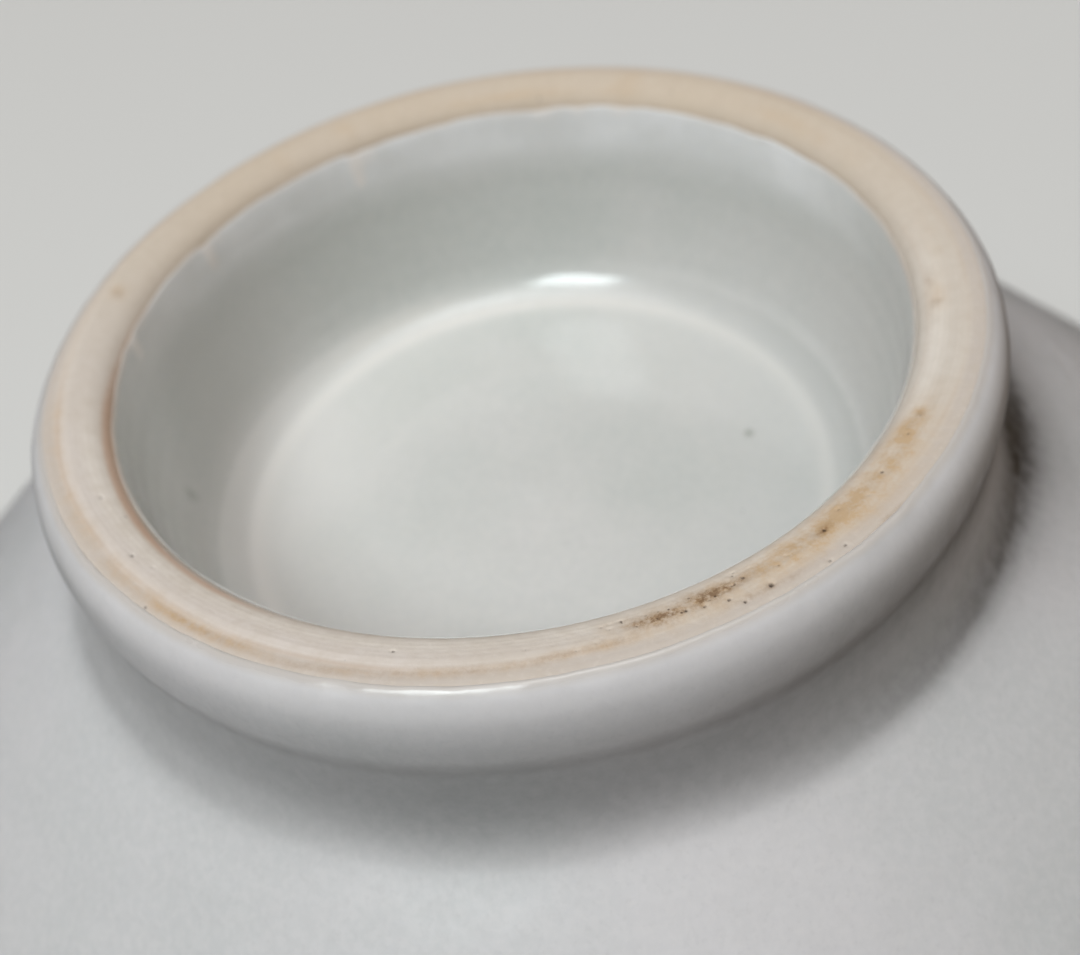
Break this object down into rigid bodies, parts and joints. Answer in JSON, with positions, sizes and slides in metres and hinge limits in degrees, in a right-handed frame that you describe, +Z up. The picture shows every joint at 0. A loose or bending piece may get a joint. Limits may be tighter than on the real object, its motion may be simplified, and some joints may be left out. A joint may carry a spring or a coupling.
{
  "type": "footed porcelain bowl",
  "caption": "Open round porcelain bowl on a turned foot ring with a bare biscuit pad and a deep glazed foot well.",
  "frame": {"origin": "centre of the foot ring, on the plane of its pad that the bowl stands on", "axes": "+Z up through the mouth, the axis the bowl was turned about; X and Y are free, because the bowl is round"},
  "size_m": [0.172, 0.172, 0.064],
  "materials": {
    "biscuit": "unglazed fired porcelain clay, matt, pale buff",
    "foot_biscuit": "bare turned foot pad, matt cream with faint turning rings, flashing and brown use stains",
    "outer_glaze": "satin pale grey-white celadon glaze with fine orange-peel mottling",
    "inner_glaze": "glossy pale grey-green celadon glaze",
    "well_glaze": "glossy pale grey-green celadon glaze over turning rings"
  },
  "bodies": {
    "root": {"bowl_body": "biscuit", "foot_ring": "foot_biscuit", "outer_glaze": "outer_glaze", "inner_glaze": "inner_glaze", "foot_well_glaze": "well_glaze"}
  },
  "joints": []
}
